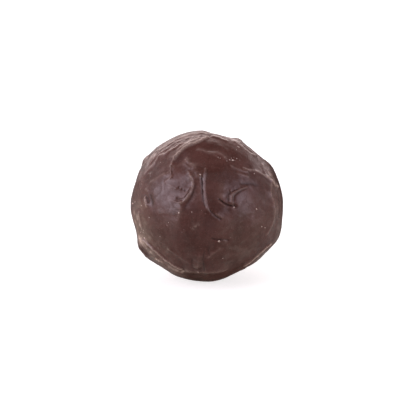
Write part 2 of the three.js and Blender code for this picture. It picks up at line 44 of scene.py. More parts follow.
# the ball: places on its creased face are millimetres right and up of the middle, seen from the front
ball = {
    "diameter": 40.0,
    "restSpot": 10.5,       # flat that it stands on
    "faceTilt": 15.0,       # the creased face looks up from level by this much
    "cells": 128,           # quads along each side of the cube that is blown round
    "flatBlend": 0.3,       # how softly a flat meets the round
    "flatReach": 0.5,       # cosine of the angle from its middle beyond which a flat isn't felt
    "waveHeight": 0.05,
    "waveLength": 9.0,
    "waveCount": 9,
    "sightRounds": 3,       # rounds in which a place on the face is found on the uneven ball
    "crestRound": 0.06,     # radius of the crest along the finest crease
    "crestWiden": 0.12,     # and how much it grows with the crease's reach
    "gather": 0.32,         # how far the mesh is drawn together on the creased face
    "creaseStep": 0.15,     # spacing of the points that follow a crease
    "creaseLeast": 4,       # and the fewest of them
    "creaseShares": 40,     # shares into which the curve between two given points is cut
    "creaseMargin": 8,      # a crease isn't felt beyond this many times its reach
    "creaseFade": 0.6,      # length over which a crease dies out at its ends
    "creaseFadeWiden": 0.8,    # and how much it grows with the crease's reach
    "creaseFadeShare": 2.2,    # a short crease fades over its length divided by this
    "creaseSway": 0.22,     # share by which its height comes and goes along its run
    "creaseSwayLength": 2.9,
    "creaseSwayBeat": 0.37,    # slower beat on top of it
    "creaseSwayShift": 5,      # its start, times the length of the crease
    "crestPull": 0.68,      # share by which the mesh is drawn onto a near crest
    "crestPullReach": 0.5,
    "crestPullMargin": 3,   # and none beyond this many times that
    "backMargin": 0.80,     # creases inside this share of the outline are repeated on the back
    "backTurn": 130.0,      # turned there by this much
    "backPaintShare": 0.45,       # and with less painted highlight on their crests and painted shade in their grooves
    "maskWidth": 0.16,      # half width of the pale line painted on a crest, a painted highlight that also stands for rubbing, and of the painted shade line in a groove
    "maskWiden": 0.22,      # and how much it grows with the crease's reach
    "maskFull": 0.3,        # rise at which these lines are at full strength
    "lumpMaskFull": 0.18,   # and rise at which a lump is
    # swellings: clock and polar degrees on the face, rise, spread
    "swellings": [
        (341, 90, 0.86, 4.6), (12, 92, 0.48, 6.5), (33, 92, 0.26, 2.2), (65, 90, 0.52, 1.4),
        (90, 90, 0.22, 1.6), (104, 92, 0.10, 5.0), (126, 92, 0.12, 5.0), (143, 91, 0.64, 1.6),
        (178, 90, -0.18, 2.6), (215, 90, 1.06, 3.5), (246, 88, 0.28, 2.4), (317, 90, 0.15, 2.5),
        (153, 37, 0.34, 4.6), (10, 24, 0.36, 4.2), (106, 27, 0.50, 2.6), (27, 93, 0.20, 2.5),
        (120, 42, -0.20, 2.2),
    ],
    # flats: clock and polar degrees on the face, depth under the round
    "flats": [
        (88, 44, 0.70), (76, 91, 0.98), (50, 91, 0.76), (163, 90, 0.44), (197, 91, 0.62), (237, 90, 0.20),
        (297, 91, 0.74), (284, 89, 0.20), (262, 32, 0.35), (37, 66, 0.28), (60, 128, 0.50),
        (190, 132, 0.60), (300, 140, 0.50), (110, 150, 0.45),
    ],
    # creases: rise at the start and at the end, reach of the fall to the left and to the right going
    # along, points. A rise below nought is a groove.
    "creases": {
        "crownLip": (0.60, 0.56, 1.40, 0.28, [
            (-8.6, 12.1), (-7.9, 13.3), (-6.8, 14.6), (-5.5, 15.7), (-3.7, 16.6), (-1.6, 17.4),
            (-0.2, 18.1), (1.0, 19.0),
        ]),
        "crownLipBack": (0.16, 0.22, 0.50, 0.40, [
            (-7.5, 14.5), (-6.2, 15.6), (-4.5, 16.6), (-2.6, 17.5), (-1.0, 18.2),
        ]),
        "crownLipLow": (0.36, 0.36, 0.30, 0.30, [(-9.2, 9.9), (-9.0, 11.2), (-8.5, 12.3), (-7.7, 13.4)]),
        "browDrop": (0.24, 0.18, 0.30, 0.28, [
            (-9.0, 11.0), (-9.2, 9.5), (-9.0, 8.1), (-9.3, 7.4), (-10.4, 6.7), (-11.1, 6.0),
        ]),
        "browDropSlot": (-0.16, -0.16, 0.20, 0.20, [(-8.7, 9.7), (-8.7, 8.9), (-8.8, 7.9)]),
        "browThread": (0.12, 0.12, 0.25, 0.25, [(-10.0, 9.4), (-9.7, 8.5), (-9.8, 7.5)]),
        "rimLine": (0.22, 0.32, 0.50, 0.35, [
            (-16.7, 7.6), (-15.3, 9.5), (-13.8, 10.9), (-12.9, 12.3), (-12.2, 13.4), (-10.7, 13.8),
            (-9.5, 14.6), (-7.6, 15.7), (-6.4, 16.4), (-4.9, 16.7),
        ]),
        "rimShell": (0.16, 0.22, 1.40, 0.50, [
            (-16.2, 11.2), (-15.3, 12.1), (-13.4, 14.3), (-11.4, 15.4), (-9.0, 16.9), (-6.6, 18.1),
            (-4.2, 18.9), (0.1, 19.4),
        ]),
        "rimWrinkleA": (0.14, 0.14, 0.18, 0.20, [
            (-11.6, 14.3), (-9.6, 15.4), (-8.3, 16.3), (-6.6, 17.4),
        ]),
        "rimWrinkleB": (0.12, 0.12, 0.18, 0.20, [(-9.2, 15.1), (-7.9, 16.0), (-6.8, 16.7), (-5.2, 17.6)]),
        "rimWrinkleC": (0.14, 0.14, 0.18, 0.20, [(-6.7, 16.5), (-5.4, 17.2), (-4.0, 17.9), (-2.4, 18.6)]),
        "rimWrinkleD": (0.12, 0.12, 0.18, 0.20, [
            (-12.8, 14.1), (-11.0, 15.3), (-9.2, 16.5), (-7.4, 17.4),
        ]),
        "rimWrinkleE": (0.14, 0.14, 0.18, 0.20, [(-4.8, 17.0), (-3.3, 17.6), (-1.8, 18.3), (-0.6, 18.8)]),
        "rimWrinkleF": (0.14, 0.14, 0.22, 0.22, [
            (-15.0, 10.8), (-13.6, 12.5), (-12.4, 13.8), (-10.9, 14.7),
        ]),
        "rimWrinkleG": (-0.14, -0.14, 0.18, 0.18, [
            (-13.2, 13.4), (-11.0, 15.0), (-8.8, 16.4), (-6.2, 17.8),
        ]),
        "rimWrinkleH": (-0.14, -0.14, 0.18, 0.18, [
            (-9.9, 15.0), (-8.0, 16.3), (-5.8, 17.1), (-3.2, 18.0),
        ]),
        "foreheadArc": (0.24, 0.30, 0.80, 0.30, [
            (-2.9, 14.9), (-1.2, 14.8), (0.1, 14.3), (1.4, 14.0), (2.8, 14.1), (3.8, 13.8), (4.9, 13.1),
            (5.6, 12.1),
        ]),
        "foreheadBranch": (0.16, 0.16, 0.40, 0.30, [(0.2, 14.4), (1.7, 13.8), (3.7, 12.7)]),
        "foreheadFaint": (0.08, 0.08, 0.60, 0.60, [(3.1, 16.3), (4.9, 15.4), (6.3, 14.2)]),
        "crownEdge": (0.25, 0.25, 0.50, 0.40, [(1.2, 18.7), (2.7, 18.4), (4.3, 17.8), (6.3, 17.1)]),
        "shoulderCrest": (0.20, 0.22, 0.50, 0.90, [
            (6.9, 17.6), (9.2, 16.0), (10.5, 15.0), (11.9, 14.0), (13.8, 13.0),
        ]),
        "shoulderLine": (0.18, 0.18, 0.25, 0.25, [(8.9, 17.2), (10.7, 15.6), (12.3, 14.3), (13.8, 13.2)]),
        "shoulderArc": (0.24, 0.24, 1.20, 1.60, [
            (14.4, 11.9), (15.7, 10.2), (16.8, 8.8), (17.3, 7.6), (17.5, 6.8),
        ]),
        "sideRidge": (0.15, 0.38, 0.32, 0.30, [
            (9.4, 10.4), (10.4, 9.9), (11.4, 9.6), (13.0, 9.4), (14.0, 9.0), (15.2, 8.3), (16.5, 7.7),
            (17.5, 6.6), (18.5, 5.5), (19.5, 5.0),
        ]),
        "sideRidgeEnd": (0.24, 0.40, 0.90, 0.30, [
            (15.4, 8.2), (16.5, 7.6), (17.5, 6.6), (18.5, 5.5), (19.5, 5.0),
        ]),
        "shoulderDip": (-0.20, -0.20, 0.50, 0.40, [(16.9, 10.8), (17.7, 9.4), (18.4, 8.0), (18.9, 6.9)]),
        "browRight": (0.18, 0.18, 0.40, 0.30, [(6.1, 11.0), (7.5, 10.1), (9.8, 9.3), (11.6, 8.9)]),
        "browRightLow": (0.20, 0.20, 0.70, 0.50, [(7.6, 8.9), (9.4, 8.4), (10.8, 7.9), (12.1, 7.2)]),
        "hookSlot": (-0.28, -0.16, 0.60, 1.60, [
            (8.4, 6.1), (9.5, 5.9), (10.6, 5.9), (11.7, 5.9), (13.1, 5.6), (14.1, 5.2),
        ]),
        "hook": (0.16, 0.36, 0.16, 0.18, [
            (11.4, 5.3), (10.6, 5.0), (9.8, 4.7), (8.3, 4.0), (7.3, 3.45), (6.85, 2.7), (6.8, 1.6),
            (7.1, 0.4),
        ]),
        "hookInside": (-0.14, -0.18, 0.16, 0.20, [
            (11.2, 4.85), (9.6, 4.25), (8.2, 3.45), (7.55, 2.8), (7.35, 2.0), (7.4, 0.9),
        ]),
        "hookOutside": (-0.10, -0.26, 0.25, 0.25, [
            (8.8, 4.7), (7.7, 4.2), (6.5, 3.6), (5.9, 2.7), (5.9, 1.6), (6.2, 0.8),
        ]),
        "hookEcho": (-0.08, -0.08, 0.25, 0.30, [(6.6, 4.3), (6.0, 3.5), (5.4, 2.7), (5.4, 1.7)]),
        "slit": (-0.34, -0.34, 0.13, 0.13, [
            (3.1, 2.1), (4.0, 1.45), (4.9, 0.8), (5.8, 0.3), (6.5, 0.1), (7.3, -0.1),
        ]),
        "slitLip": (0.32, 0.26, 0.18, 0.50, [(3.0, 1.75), (3.8, 1.05), (4.7, 0.4), (5.6, -0.1)]),
        "slitUnder": (-0.12, -0.12, 1.00, 1.00, [(4.9, -0.6), (6.0, -1.0), (7.2, -0.9)]),
        "slitLipUpper": (0.14, 0.14, 0.25, 0.20, [(3.9, 1.9), (4.9, 1.2), (5.7, 0.8)]),
        "sideBand": (0.30, 0.36, 0.50, 0.80, [
            (17.4, 7.2), (17.3, 4.3), (17.5, 2.8), (18.1, 1.2), (18.4, -1.0), (18.0, -3.8), (16.9, -6.4),
            (15.9, -8.0),
        ]),
        "sideBandDip": (-0.38, -0.30, 0.60, 0.40, [(18.4, 5.8), (19.0, 3.2), (19.3, 0.2), (19.0, -3.0)]),
        "nose": (0.16, 0.26, 0.13, 0.16, [
            (0.0, 10.3), (-0.15, 9.0), (-0.3, 7.4), (-0.3, 5.3), (-0.1, 3.0), (0.2, 0.8), (0.6, -0.8),
            (1.4, -1.7),
        ]),
        "noseTop": (0.16, 0.16, 0.35, 0.50, [(0.0, 10.0), (-0.2, 8.9), (-0.3, 7.4)]),
        "noseSlot": (-0.34, -0.14, 0.13, 0.14, [
            (-1.1, 7.8), (-0.9, 6.3), (-0.85, 4.8), (-0.7, 2.8), (-0.4, 0.8), (0.1, -0.4),
        ]),
        "noseSide": (0.12, 0.10, 0.50, 0.60, [(-1.8, 7.2), (-1.6, 5.0), (-1.4, 2.5), (-1.1, 0.6)]),
        "noseTail": (-0.28, -0.26, 0.20, 0.20, [(0.7, -0.8), (1.9, -2.0), (2.9, -2.8), (4.3, -3.7)]),
        "tailLipRight": (0.26, 0.28, 0.60, 0.25, [(2.4, -1.7), (3.4, -2.4), (4.7, -3.3)]),
        "swirl": (0.26, 0.40, 0.24, 0.62, [
            (-4.5, 8.5), (-3.75, 7.5), (-3.4, 6.2), (-3.6, 4.9), (-4.0, 3.9), (-4.5, 3.0), (-5.3, 1.9),
            (-6.3, 1.0), (-7.3, 0.9),
        ]),
        "swirlReturn": (0.26, 0.10, 0.70, 0.26, [
            (-5.9, 1.2), (-6.6, 0.85), (-7.4, 0.95), (-8.6, 1.4), (-9.8, 1.95),
        ]),
        "swirlSlot": (-0.16, -0.02, 0.08, 0.08, [
            (-4.0, 4.5), (-4.7, 3.2), (-5.7, 2.0), (-6.9, 1.9), (-7.9, 2.3),
        ]),
        "swirlSlotLow": (-0.18, -0.12, 0.25, 0.30, [(-5.4, 2.1), (-6.1, 1.7), (-7.0, 1.95), (-7.9, 2.4)]),
        "swirlShade": (-0.20, -0.20, 1.50, 1.20, [
            (-2.6, 6.6), (-2.9, 4.5), (-3.8, 2.3), (-5.0, 0.3), (-6.0, -1.3),
        ]),
        "swirlInner": (0.14, 0.18, 0.20, 0.24, [(-4.0, 5.4), (-4.5, 4.1), (-5.1, 3.1), (-6.1, 2.2)]),
        "swirlTop": (0.26, 0.30, 0.35, 0.90, [(-4.9, 9.6), (-4.3, 8.7), (-3.7, 7.5), (-3.5, 6.3)]),
        "cheekEdge": (0.20, 0.08, 2.40, 2.00, [(-6.1, 1.2), (-6.6, -1.0), (-7.8, -5.2), (-8.6, -7.8)]),
        "patch": (0.55, 0.55, 0.60, 0.90, [
            (-6.0, 12.7), (-5.1, 12.1), (-4.1, 11.3), (-3.1, 10.6), (-2.4, 9.8),
        ]),
        "patchLow": (0.14, 0.14, 0.35, 0.60, [(-6.2, 11.4), (-5.3, 10.9), (-4.5, 10.2), (-3.6, 9.6)]),
        "wavy": (0.12, 0.12, 0.35, 0.35, [(-10.8, 6.2), (-9.7, 5.7), (-8.9, 5.1), (-7.2, 4.4)]),
        "cheekTop": (0.12, 0.18, 0.40, 1.30, [
            (-15.2, 5.9), (-13.6, 6.8), (-12.2, 7.8), (-11.2, 8.3), (-10.5, 8.2), (-9.8, 7.5),
        ]),
        "cheekCurl": (0.16, 0.16, 0.20, 0.20, [(-15.5, 8.2), (-15.0, 8.6), (-14.5, 8.2), (-14.6, 7.3)]),
        "cheekCurlLow": (0.16, 0.16, 0.20, 0.20, [
            (-16.2, 3.9), (-15.8, 4.4), (-15.3, 4.2), (-15.4, 3.5),
        ]),
        "cheekHollow": (-0.24, -0.20, 1.50, 1.30, [(-14.6, 4.0), (-14.2, 2.0), (-13.4, -0.8)]),
        "sideSlit": (0.42, 0.42, 0.45, 0.45, [(-16.4, 2.8), (-16.0, 1.1), (-15.5, -0.6)]),
        "sideSlitSlot": (-0.22, -0.22, 0.22, 0.30, [(-15.7, 3.3), (-15.2, 1.9), (-14.7, 0.5)]),
        "leftStreak": (0.36, 0.30, 0.90, 0.90, [
            (-17.7, -0.6), (-17.6, -3.1), (-17.2, -4.7), (-16.9, -6.4),
        ]),
        "footLeft": (0.46, 0.46, 0.22, 0.34, [
            (-17.1, -8.5), (-15.9, -9.7), (-14.9, -10.6), (-13.7, -11.7), (-12.7, -12.6), (-11.4, -13.8),
            (-9.9, -14.9), (-8.5, -15.9), (-7.0, -16.6), (-5.9, -17.0),
        ]),
        "knobUnder": (-0.34, -0.34, 0.75, 0.75, [(-17.5, -11.1), (-16.6, -12.3), (-15.6, -13.3)]),
        "footLeftUnder": (0.20, 0.20, 0.25, 0.30, [(-17.3, -9.0), (-15.9, -10.3), (-14.6, -11.5)]),
        "footInner": (0.18, 0.18, 0.50, 0.40, [(-10.3, -10.8), (-6.8, -13.4), (-3.7, -15.3)]),
        "footFront": (0.46, 0.24, 1.50, 0.70, [
            (-5.8, -17.2), (-1.7, -17.55), (2.5, -17.55), (6.4, -16.6),
        ]),
        "footUnder": (-0.10, -0.10, 0.70, 0.70, [
            (-5.0, -18.9), (-2.0, -19.3), (2.5, -19.3), (6.0, -18.5),
        ]),
        "footRight": (0.36, 0.36, 0.30, 0.34, [
            (17.7, -10.0), (14.7, -12.4), (11.9, -14.9), (9.8, -16.3),
        ]),
        "chinSoft": (0.34, 0.46, 0.60, 1.20, [(-1.5, -12.4), (-1.8, -14.8), (-2.1, -16.9)]),
        "chinFold": (-0.06, -0.28, 0.20, 0.22, [
            (-0.1, -11.4), (-0.5, -12.8), (-0.7, -14.2), (-0.5, -15.5), (-0.2, -16.9),
        ]),
        "chinSlot": (-0.12, -0.12, 0.40, 0.40, [(0.8, -10.2), (0.8, -11.6), (1.0, -13.2)]),
        "chinDip": (-0.12, -0.12, 0.50, 0.50, [(-3.3, -13.4), (-3.5, -14.8), (-3.2, -16.2)]),
        "chinBranch": (0.26, 0.20, 0.50, 0.50, [(0.3, -14.1), (1.3, -13.0), (2.5, -12.1), (4.2, -10.8)]),
        "chinLine": (0.26, 0.26, 0.25, 0.30, [(3.7, -9.1), (4.7, -9.0), (5.9, -9.5)]),
        "chinLineSlot": (-0.24, -0.24, 0.22, 0.25, [(1.2, -8.4), (3.3, -8.7), (4.9, -8.7), (6.4, -8.9)]),
    },
    # lumps and pits: right, up, rise, spread
    "lumps": [
        (-8.4, 10.3, 0.14, 0.45), (7.6, 0.05, -0.34, 0.50), (-6.9, 4.9, -0.14, 0.24),
        (-6.2, 4.4, -0.16, 0.24), (-5.3, 4.1, -0.12, 0.26), (5.9, 2.4, 0.14, 0.40),
        (6.7, 4.0, 0.12, 0.30), (4.2, 2.6, 0.15, 0.90), (4.3, 4.8, 0.10, 1.20), (-2.3, 8.9, 0.14, 0.40),
        (-1.9, 7.7, 0.17, 0.60), (9.4, 5.8, -0.08, 0.45), (10.3, 5.75, -0.10, 0.50),
        (11.2, 5.75, -0.08, 0.45), (-2.4, 8.3, 0.08, 1.40), (-3.2, 9.4, 0.08, 1.20),
        (-16.9, -11.9, -0.12, 0.80), (-15.9, -13.0, -0.12, 0.70),
    ],
    # creases painted pale and creamy along their crests, a painted highlight that also stands for rubbing,
    # and how much
    "rubbedAndSheen": {
        "crownLip": 0.34, "crownLipBack": 0.44, "rimShell": 0.05, "rimLine": 0.08, "crownEdge": 0.08,
        "shoulderCrest": 0.04, "shoulderArc": 0.12, "sideRidge": 0.17, "sideRidgeEnd": 0.50,
        "sideBand": 0.04, "swirl": 0.10, "sideSlit": 0.26, "leftStreak": 0.16, "footLeft": 0.40,
        "footFront": 0.10, "footRight": 0.60,
    },
    # soft creases, and the share of the paler, painted highlight left on their crests
    "soft": {
        "footFront": 0.5, "footInner": 0.6, "chinSoft": 0.5, "shoulderCrest": 0.5, "shoulderLine": 0.3,
        "shoulderArc": 0.6,
    },
    # painted shade: dull, dark spots without shine, where shade falls: right, up, spread, strength
    "shadeSpots": [
        (-17.2, -11.6, 1.30, 0.9), (-16.2, -12.7, 1.30, 0.8), (-16.6, -11.3, 1.60, 1.0),
        (-15.7, -12.4, 1.50, 0.9), (-10.5, 15.0, 0.80, 0.3), (-8.3, 16.2, 0.80, 0.4),
        (-5.8, 17.2, 0.80, 0.4), (-3.6, 18.0, 0.80, 0.3), (-7.0, 12.2, 1.50, 0.4),
        (-5.4, 13.6, 1.40, 0.3), (5.0, -0.9, 1.60, 0.55), (1.2, -4.9, 2.00, 0.40),
        (-3.3, -0.6, 1.50, 0.35), (13.4, 5.6, 2.00, 0.40), (-7.8, -7.4, 2.60, 0.30),
        (12.7, 11.4, 1.50, 0.35), (14.4, 7.6, 1.20, 0.40), (-15.5, -6.4, 1.60, 0.40),
        (13.2, 3.4, 1.80, 0.30),
    ],
    # scuffed, creamy spots, which also paint a sheen and highlights where light catches: right, up,
    # spread, strength
    "scuffAndSheenSpots": [
        (-17.0, -9.4, 1.80, 0.65), (-17.3, -8.7, 1.00, 0.95), (-17.0, -9.5, 1.10, 0.95),
        (-16.6, -10.3, 0.90, 0.85), (-15.7, -11.0, 0.40, 0.6), (-12.5, -14.3, 0.40, 1.0),
        (-12.9, -14.0, 0.35, 1.0), (-17.2, -4.9, 0.50, 0.8), (-6.0, -17.1, 0.40, 0.9),
        (17.3, -10.3, 0.40, 1.0), (-16.2, -9.1, 0.30, 0.8), (-15.7, -8.9, 0.70, 0.3),
        (-15.4, -9.8, 0.25, 0.7), (-14.6, -10.5, 0.25, 0.6), (-14.4, -12.2, 0.60, 0.3),
        (-11.6, -14.7, 0.60, 0.3), (-9.4, -16.1, 0.60, 0.3), (-17.9, -3.0, 0.80, 0.4),
        (17.0, 8.1, 1.10, 0.3), (17.7, 6.8, 1.00, 0.3), (18.9, 5.5, 0.60, 0.6), (-8.6, -16.6, 0.50, 0.4),
        (-7.6, -16.9, 0.60, 0.5), (-6.4, -17.4, 0.50, 0.5), (-18.8, -1.6, 0.60, 0.3),
        (-18.5, -4.2, 0.60, 0.3), (-4.3, -17.0, 0.90, 0.13), (-2.4, -17.3, 0.90, 0.15),
        (-0.3, -17.4, 0.90, 0.15), (1.9, -17.4, 0.90, 0.13), (3.9, -17.0, 0.80, 0.08),
        (-2.7, -5.3, 0.55, 0.14), (-3.4, -5.9, 0.50, 0.10), (-2.0, -4.8, 0.45, 0.10),
        (-7.2, 14.7, 0.50, 0.18), (-6.3, 15.5, 0.60, 0.24), (-5.2, 16.2, 0.60, 0.26),
        (-4.0, 16.8, 0.60, 0.24), (-2.8, 17.3, 0.60, 0.18), (-17.0, 10.1, 0.40, 0.6),
        (-16.6, 10.7, 0.45, 0.8), (-16.0, 11.4, 0.40, 0.7), (-15.3, 12.1, 0.40, 0.5),
        (-5.8, 18.4, 0.50, 0.6), (-4.8, 18.7, 0.40, 0.4), (0.0, 19.3, 0.50, 0.4),
        (-2.1, -15.5, 0.90, 0.06), (17.0, 5.2, 0.80, 0.08), (17.1, 3.6, 0.80, 0.10),
        (17.5, 2.0, 0.80, 0.08), (17.9, 0.4, 0.70, 0.08), (18.0, -1.2, 0.70, 0.08),
        (17.8, -2.8, 0.70, 0.07), (17.1, -4.6, 0.80, 0.05),
    ],
    # wrinkles wandering over the sides and back, laid by seeded draws
    "wandererCount": 44,
    "wandererSeed": 271,
    "wandererClear": 98,       # degrees from the middle of the face where they may start
    "wandererLimit": 95,       # and nearest to it that they may come
    "wandererStride": 2.6,
    "wandererTurn": 0.7,
    "wandererLegs": 3,         # fewest strides, and how many more a draw can add
    "wandererSize": (0.3, 0.7),        # least size, and what a draw adds
    "wandererFall": (0.25, 0.8, 0.4),  # least reach, and what a draw adds on the left and on the right
    "wandererRise": 0.36,
    "wandererRidges": 0.65,    # share of them that are ridges
    "wandererGroove": -0.7,    # height of the others against a ridge's
    "grainHeight": 0.06,       # uneven set of the coating
    "grainLength": 2.2,
    "grainFractal": (1.0, 2.0, 3),     # fall in height and in length from layer to layer, layers
}

radius = ball["diameter"] / 2
restDepth = math.sqrt(radius ** 2 - (ball["restSpot"] / 2) ** 2)
tilt = math.radians(ball["faceTilt"])
faceAxes = np.array([
    (1, 0, 0),                                # right
    (0, math.sin(tilt), math.cos(tilt)),      # up
    (0, -math.cos(tilt), math.sin(tilt)),     # out of the face
])


def unit(vectors):
    return vectors / np.linalg.norm(vectors, axis=-1, keepdims=True)


def clockDirection(clock, polar):             # both in radians, clock anticlockwise from the right
    onFace = [np.sin(polar) * np.cos(clock), np.sin(polar) * np.sin(clock), np.cos(polar)]
    return np.stack(onFace, -1) @ faceAxes


def flatDirection(points):                    # beyond the outline a point lies further round the back
    reach = np.hypot(points[:, 0], points[:, 1])
    polar = np.arcsin(np.minimum(reach / radius, 1)) + np.maximum(reach - radius, 0) / radius
    return clockDirection(np.arctan2(points[:, 1], points[:, 0]), polar)


def slowWaves(directions):                    # travel ways spread evenly by the golden angle
    total = np.zeros(len(directions))
    for wave in range(ball["waveCount"]):
        height = 1 - (2 * wave + 1) / ball["waveCount"]
        turn = wave * math.pi * (3 - math.sqrt(5))
        level = math.sqrt(1 - height ** 2)
        travel = np.array((level * math.sin(turn), height, level * math.cos(turn)))
        total += np.sin(directions @ travel * radius * 2 * math.pi / ball["waveLength"] + wave)
    return ball["waveHeight"] * total


def softMin(first, second, blend):
    overlap = np.maximum(blend - np.abs(first - second), 0) / blend
    return np.minimum(first, second) - overlap ** 2 * blend / 4


def slowRadius(directions):                   # round, flats and swellings, without the creases
    out = radius + slowWaves(directions)
    for clock, polar, depth in ball["flats"]:
        facing = directions @ clockDirection(math.radians(clock), math.radians(polar))
        near = facing > ball["flatReach"]
        out[near] = softMin(out[near], (radius - depth) / facing[near], ball["flatBlend"])
    for clock, polar, rise, spread in ball["swellings"]:
        middle = clockDirection(math.radians(clock), math.radians(polar))
        gap = np.arccos(np.clip(directions @ middle, -1, 1)) * radius
        out += rise * np.exp(-((gap / spread) ** 2))
    return out


def faceDirection(points, rise=0.0):          # where the eye sees the point, raised over the uneven round
    points = np.array(points, float)
    seen = points
    for _ in range(ball["sightRounds"]):
        seen = points * (radius / (slowRadius(flatDirection(seen)) + rise))[:, None]
    return flatDirection(seen)


def smoothPath(corners, step):                # evenly spaced directions on a curve through the corners
    padded = np.vstack((2 * corners[0] - corners[1], corners, 2 * corners[-1] - corners[-2]))
    share = np.linspace(0, 1, ball["creaseShares"], endpoint=False)[:, None]
    run = []
    for a, b, c, d in zip(padded, padded[1:], padded[2:], padded[3:]):
        run.append(0.5 * (2 * b + (c - a) * share + (2 * a - 5 * b + 4 * c - d) * share ** 2
                          + (3 * b - a - 3 * c + d) * share ** 3))
    run = unit(np.vstack((*run, corners[-1:])))
    strides = np.linalg.norm(np.diff(run, axis=0), axis=1)
    length = np.concatenate(([0], np.cumsum(strides))) * radius
    places = np.linspace(0, length[-1], max(ball["creaseLeast"], round(length[-1] / step)))
    even = np.stack([np.interp(places, length, run[:, axis]) for axis in range(3)], -1)
    return unit(even), length[-1]


def seededDraws(seed):                        # the same even draws between 0 and 1 on every run
    multiplier = 16807
    modulus = 2147483647
    while True:
        seed = seed * multiplier % modulus
        yield seed / modulus


def wanderers():                              # corners of wrinkles that stray over the sides and back
    draws = seededDraws(ball["wandererSeed"])
    clear = math.cos(math.radians(ball["wandererClear"]))
    limit = math.cos(math.radians(ball["wandererLimit"]))
    legs = ball["wandererLegs"]
    leastSize, moreSize = ball["wandererSize"]
    leastFall, moreLeft, moreRight = ball["wandererFall"]
    for _ in range(ball["wandererCount"]):
        out = clear - next(draws) * (1 + clear)
        place = clockDirection(next(draws) * 2 * math.pi, math.acos(out))
        heading = unit(np.cross(place, clockDirection(next(draws) * 2 * math.pi, math.pi / 2)))
        bend = (next(draws) - 0.5) * 2 * ball["wandererTurn"]
        corners = [place]
        for _ in range(legs + int(next(draws) * legs)):
            turn = bend + (next(draws) - 0.5) * ball["wandererTurn"]
            heading = heading * math.cos(turn) + np.cross(place, heading) * math.sin(turn)
            place = unit(place + heading * ball["wandererStride"] / radius)
            heading = unit(heading - place * (heading @ place))
            corners.append(place)
        size = leastSize + moreSize * next(draws)
        kind = 1 if next(draws) < ball["wandererRidges"] else ball["wandererGroove"]
        rise = ball["wandererRise"] * size * kind
        left = leastFall + moreLeft * next(draws)
        right = leastFall + moreRight * next(draws)
        if max(np.array(corners) @ faceAxes[2]) < limit:
            yield rise, left, right, np.array(corners)


def layCrease(rises, left, right, corners, paintShare=1.0, rubbedAndSheen=0.0):
    path, length = smoothPath(corners, ball["creaseStep"])
    middle = unit(path.mean(0))
    span = np.arccos(min((path @ middle).min(), 1.0))
    return {"rises": rises, "left": left, "right": right, "breadth": (left + right) / 2, "path": path,
            "length": length, "middle": middle, "span": span, "paintShare": paintShare, "rubbedAndSheen": rubbedAndSheen}


def layCreases():
    laid = []
    turned = Matrix.Rotation(math.radians(ball["backTurn"]), 3, faceAxes[2])
    toBack = np.array(Matrix.Rotation(math.pi, 3, faceAxes[1]) @ turned)
    for name, (start, end, left, right, points) in ball["creases"].items():
        rubbedAndSheen = ball["rubbedAndSheen"].get(name, 0.0)
        corners = faceDirection(points, np.linspace(start, end, len(points)))
        laid.append(layCrease((start, end), left, right, corners, ball["soft"].get(name, 1.0), rubbedAndSheen))
        if max(math.hypot(*point) for point in points) < ball["backMargin"] * radius:
            laid.append(layCrease((start, end), left, right, corners @ toBack.T, ball["backPaintShare"]))
    for rise, left, right, corners in wanderers():
        laid.append(layCrease((rise, rise), left, right, corners, ball["backPaintShare"]))
    return laid


def alongCrease(directions, crease):          # foot on it, gap with left above nought, way from its start
    path = crease["path"]
    step = crease["length"] / (len(path) - 1)
    nearest = (directions @ path.T).argmax(1)
    along = unit(path[np.minimum(nearest + 1, len(path) - 1)] - path[np.maximum(nearest - 1, 0)])
    slide = np.clip(((directions - path[nearest]) * along).sum(1) * radius, -step / 2, step / 2)
    foot = unit(path[nearest] + along * (slide / radius)[:, None])
    gap = np.linalg.norm(directions - foot, axis=1) * radius
    side = np.sign((np.cross(foot, along) * directions).sum(1))
    return foot, gap * side, nearest * step + slide


def nearCrease(directions, crease, margin):
    return np.flatnonzero(directions @ crease["middle"] > np.cos(crease["span"] + margin / radius))


def smoothStep(value, low, high):
    share = np.clip((value - low) / (high - low), 0, 1)
    return share * share * (3 - 2 * share)


def gathered(directions):                     # finer cells on the creased face, coarser ones on the back
    out = faceAxes[2]
    polar = np.arccos(np.clip(directions @ out, -1, 1))
    aside = directions - (directions @ out)[:, None] * out
    leastAside = 1e-9                         # so that nothing is divided by nought at the face's middle
    aside /= np.maximum(np.linalg.norm(aside, axis=1, keepdims=True), leastAside)
    polar = (polar - ball["gather"] * np.sin(polar))[:, None]
    return unit(out * np.cos(polar) + aside * np.sin(polar))


def drawnToCrests(directions, laid):          # corners move towards the nearest crest, so edges follow it
    bestGap = np.full(len(directions), np.inf)
    bestFoot = directions.copy()
    for crease in laid:
        near = nearCrease(directions, crease, ball["crestPullMargin"] * ball["crestPullReach"])
        foot, gap, _ = alongCrease(directions[near], crease)
        closer = np.abs(gap) < bestGap[near]
        bestGap[near[closer]] = np.abs(gap[closer])
        bestFoot[near[closer]] = foot[closer]
    pull = ball["crestPull"] * np.exp(-((bestGap / ball["crestPullReach"]) ** 2))
    return unit(directions + (bestFoot - directions) * pull[:, None])


def roundSpot(directions, right, up, spread):    # a soft spot on the face, 1 in its middle
    gap = np.linalg.norm(directions - faceDirection([(right, up)]), axis=1) * radius
    return np.exp(-((gap / spread) ** 2))


